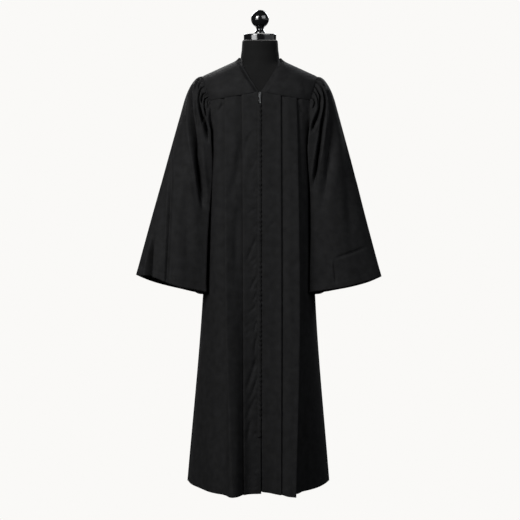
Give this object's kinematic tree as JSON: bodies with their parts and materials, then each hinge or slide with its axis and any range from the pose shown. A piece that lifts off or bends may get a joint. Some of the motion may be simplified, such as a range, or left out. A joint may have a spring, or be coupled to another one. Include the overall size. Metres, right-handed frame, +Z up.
{
  "type": "graduation gown on a dress form",
  "caption": "Plain black pleated graduation gown with a V neck, front zip and wide bell sleeves, worn on a limbless dress form with a ball finial and round base.",
  "frame": {"origin": "centre of the stand's base plate on its underside, where it rests on the floor", "axes": "+Z up the pole, the gown's front faces -Y, the wearer's left sleeve is towards +X"},
  "size_m": [0.7913, 0.4538, 1.54],
  "materials": {
    "gown_cloth": "matte",
    "zip_tape": "matte",
    "form_jersey": "matte",
    "gloss_black": "gloss",
    "black_steel": "satin",
    "zip_metal": "satin"
  },
  "bodies": {
    "dressed_form": {"form_torso": "form_jersey", "form_neck_cap": "gloss_black", "form_finial": "gloss_black", "form_pole": "black_steel", "form_base": "black_steel", "yoke_front_left": "gown_cloth", "yoke_front_right": "gown_cloth", "yoke_back": "gown_cloth", "front_left": "gown_cloth", "front_right": "gown_cloth", "back": "gown_cloth", "sleeve_left": "gown_cloth", "sleeve_right": "gown_cloth", "zip_tape": "zip_tape", "zip_placket": "gown_cloth", "zip_slider": "zip_metal"},
    "zip_pull_tab": {"zip_pull": "zip_metal"}
  },
  "joints": [
    {"name": "zip_pull_swing", "type": "hinge", "parent": "dressed_form", "child": "zip_pull_tab", "pos_m": [0, -0.12194, 1.275], "axis": [-1, 0, 0], "range_deg": [0, 165]}
  ]
}
